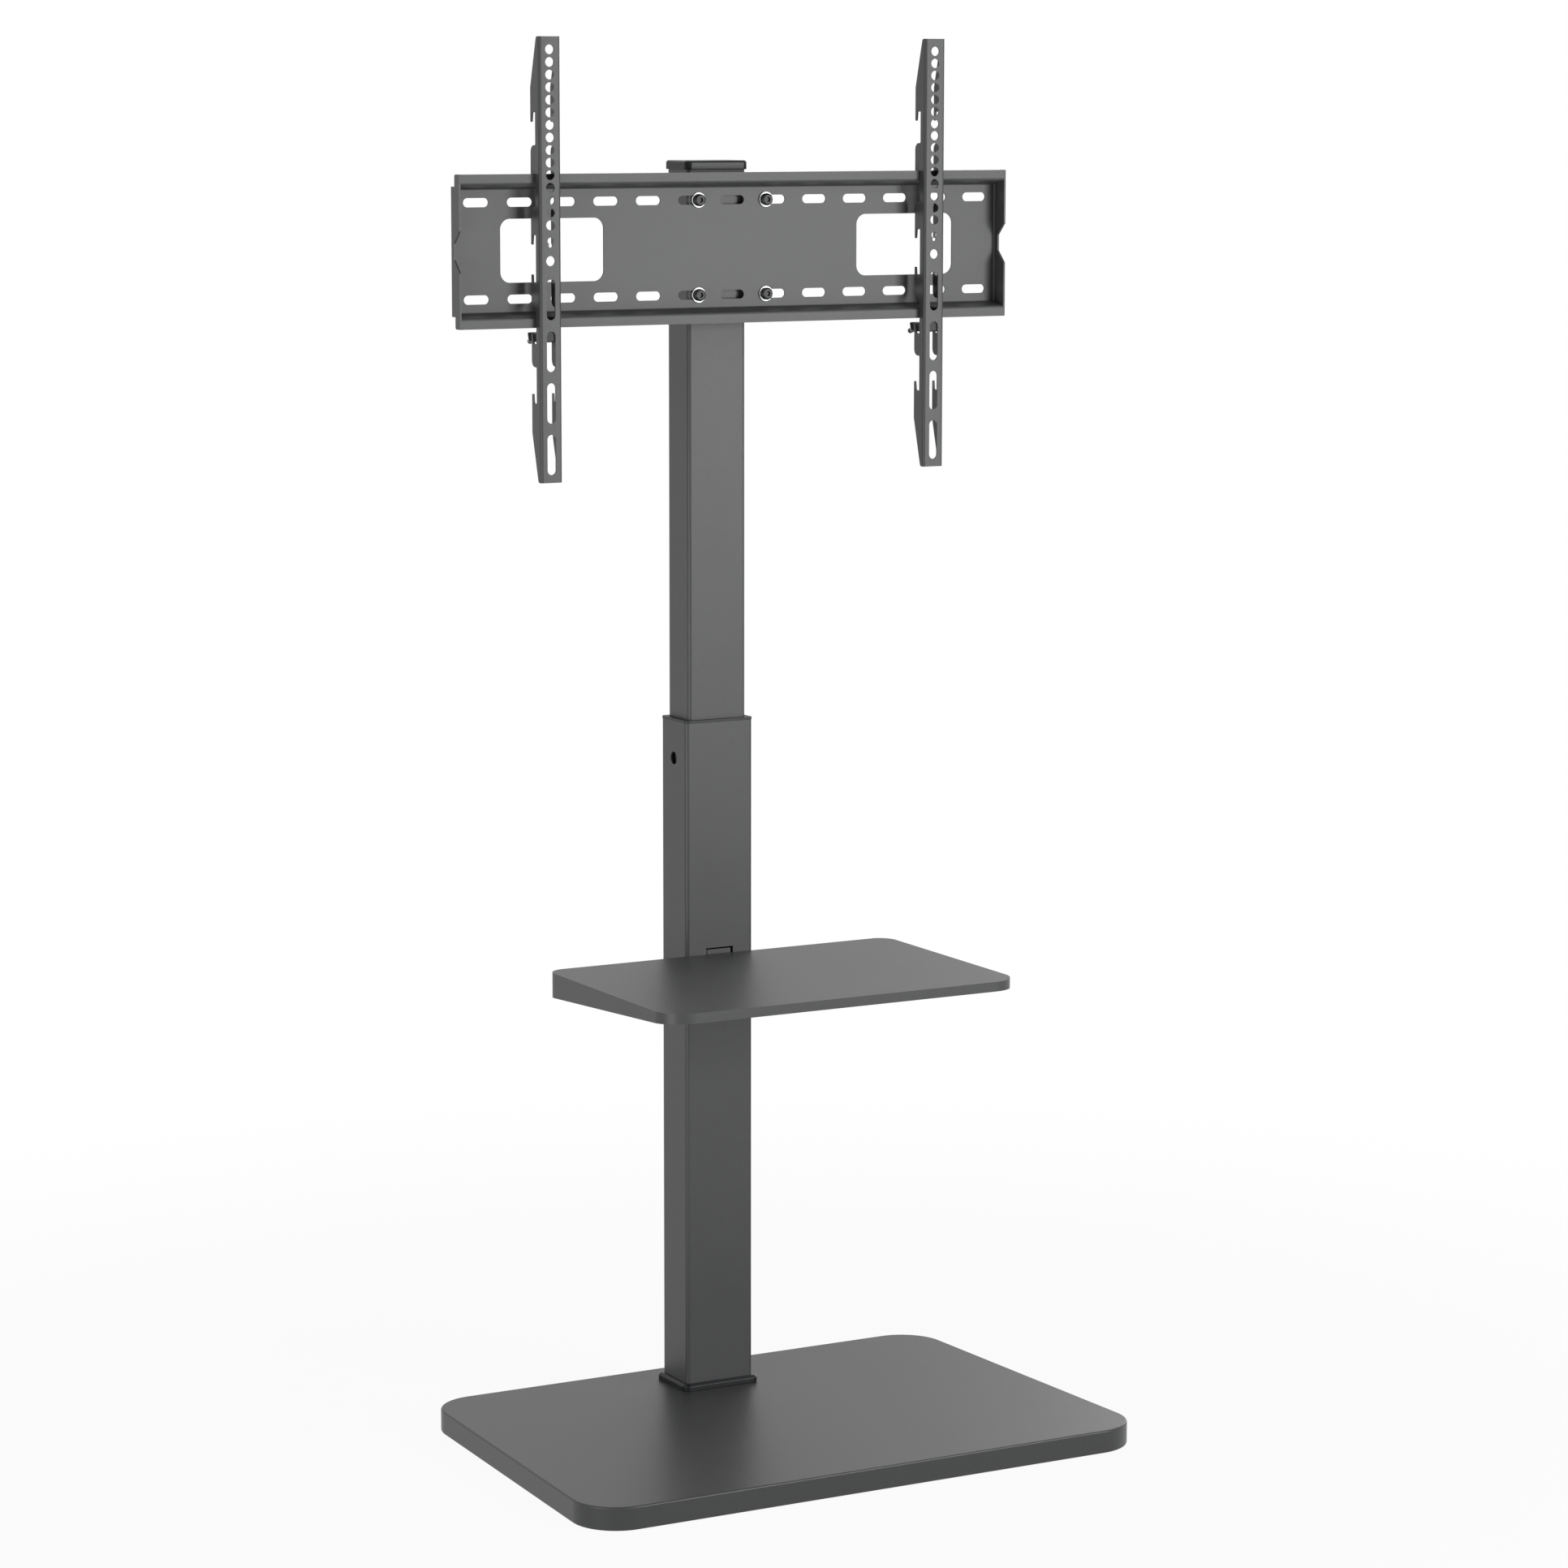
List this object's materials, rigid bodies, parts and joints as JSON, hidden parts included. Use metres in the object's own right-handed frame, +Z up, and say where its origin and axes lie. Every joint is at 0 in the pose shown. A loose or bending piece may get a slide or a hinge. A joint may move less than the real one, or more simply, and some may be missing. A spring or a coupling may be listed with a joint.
{
  "type": "tv stand with mount",
  "caption": "Floor stand for a flat screen: heavy base board, telescopic column with a small shelf, slotted mount plate and hooked arms that slide along it.",
  "frame": {"origin": "On the floor, under the middle of the base board.", "axes": "+Z is up. +X runs along the mount plate to the viewer's right when facing the screen side. -Y is the front, where the screen hangs; +Y is the back."},
  "size_m": [0.6616, 0.45, 1.5023],
  "materials": {
    "board": "fibreboard with a satin charcoal lacquer",
    "coated_steel": "satin charcoal powder coat with a fine texture",
    "gloss_moulding": "smooth black moulded plastic",
    "moulding": "matt black moulded plastic",
    "rubber": "matt black rubber",
    "blackened_steel": "blackened steel",
    "zinc_steel": "bright zinc-plated steel"
  },
  "bodies": {
    "stand": {"base_board": "board", "base_pads": "rubber", "base_underplate": "coated_steel", "base_bolts": "blackened_steel", "foot_plate": "coated_steel", "foot_collar": "gloss_moulding", "lower_column": "coated_steel", "column_bushing": "moulding", "clamp_nut": "blackened_steel", "shelf_panel": "coated_steel", "shelf_screws": "blackened_steel", "shelf_inserts": "zinc_steel"},
    "clamp": {"clamp_screw": "blackened_steel"},
    "mast": {"upper_column": "coated_steel", "lower_glide": "moulding", "top_cap": "gloss_moulding", "head_bracket": "coated_steel", "plate_nuts": "blackened_steel", "mount_plate": "coated_steel", "plate_washers": "zinc_steel", "plate_bolts": "blackened_steel"},
    "arm_left": {"left_arm": "coated_steel"},
    "lock_left": {"left_lock_block": "moulding", "left_lock_plate": "zinc_steel"},
    "thumb_left": {"left_lock_screw": "blackened_steel"},
    "arm_right": {"right_arm": "coated_steel"},
    "lock_right": {"right_lock_block": "moulding", "right_lock_plate": "zinc_steel"},
    "thumb_right": {"right_lock_screw": "blackened_steel"}
  },
  "joints": [
    {"name": "column_height", "type": "slide", "parent": "stand", "child": "mast", "axis": [0, 0, 1], "range_m": [-0.1, 0.007]},
    {"name": "clamp_turn", "type": "hinge", "parent": "stand", "child": "clamp", "pos_m": [0, 0.197, 0.7005], "axis": [0, 1, 0], "range_deg": [0, 360]},
    {"name": "left_arm_slide", "type": "slide", "parent": "mast", "child": "arm_left", "axis": [1, 0, 0], "range_m": [-0.0845, 0.1785]},
    {"name": "right_arm_slide", "type": "slide", "parent": "mast", "child": "arm_right", "axis": [1, 0, 0], "range_m": [-0.183, 0.0805]},
    {"name": "left_lock_slide", "type": "slide", "parent": "arm_left", "child": "lock_left", "axis": [0, 0, 1], "range_m": [-0.012, 0.0047]},
    {"name": "right_lock_slide", "type": "slide", "parent": "arm_right", "child": "lock_right", "axis": [0, 0, 1], "range_m": [-0.012, 0.0047]},
    {"name": "left_lock_turn", "type": "hinge", "parent": "lock_left", "child": "thumb_left", "pos_m": [-0.22903, 0.0967, 1.19315], "axis": [0, 0.9659, -0.2588], "range_deg": [0, 360]},
    {"name": "right_lock_turn", "type": "hinge", "parent": "lock_right", "child": "thumb_right", "pos_m": [0.23238, 0.0967, 1.19315], "axis": [0, 0.9659, -0.2588], "range_deg": [0, 360]}
  ]
}
